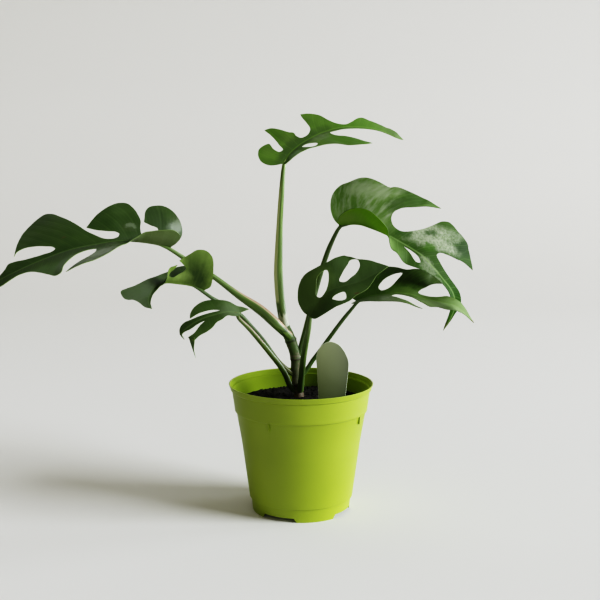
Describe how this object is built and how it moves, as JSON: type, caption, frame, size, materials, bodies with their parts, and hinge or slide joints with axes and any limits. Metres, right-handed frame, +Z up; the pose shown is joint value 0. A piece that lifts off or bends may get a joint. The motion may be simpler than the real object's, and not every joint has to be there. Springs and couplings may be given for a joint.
{
  "type": "potted mini monstera plant",
  "caption": "Young climbing houseplant with deeply split and holed leaves on slender stalks, rooted in dark soil in a flared lime-green nursery pot with a plain plant tag.",
  "frame": {"origin": "on the surface that the pot stands on, under the middle of the whole plant's bounding box", "axes": "+Z up; -Y towards the front, where the label faces; +X to the right as seen from the front, the way the variegated leaf reaches"},
  "size_m": [0.3876, 0.1563, 0.3286],
  "materials": {
    "pot_lime": "satin",
    "soil": "matte",
    "stem": "matte",
    "petiole": "satin",
    "leaf": "satin",
    "label": "satin"
  },
  "bodies": {
    "root": {"pot": "pot_lime", "soil": "soil", "stem": "stem", "plant_label": "label", "leaf_1_blade": "leaf", "leaf_2_blade": "leaf", "leaf_3_blade": "leaf", "leaf_4_blade": "leaf", "leaf_5_blade": "leaf", "leaf_6_blade": "leaf", "leaf_7_blade": "leaf", "leaf_1_petiole": "petiole", "leaf_2_petiole": "petiole", "leaf_3_petiole": "petiole", "leaf_4_petiole": "petiole", "leaf_5_petiole": "petiole", "leaf_6_petiole": "petiole", "leaf_7_petiole": "petiole"}
  },
  "joints": []
}
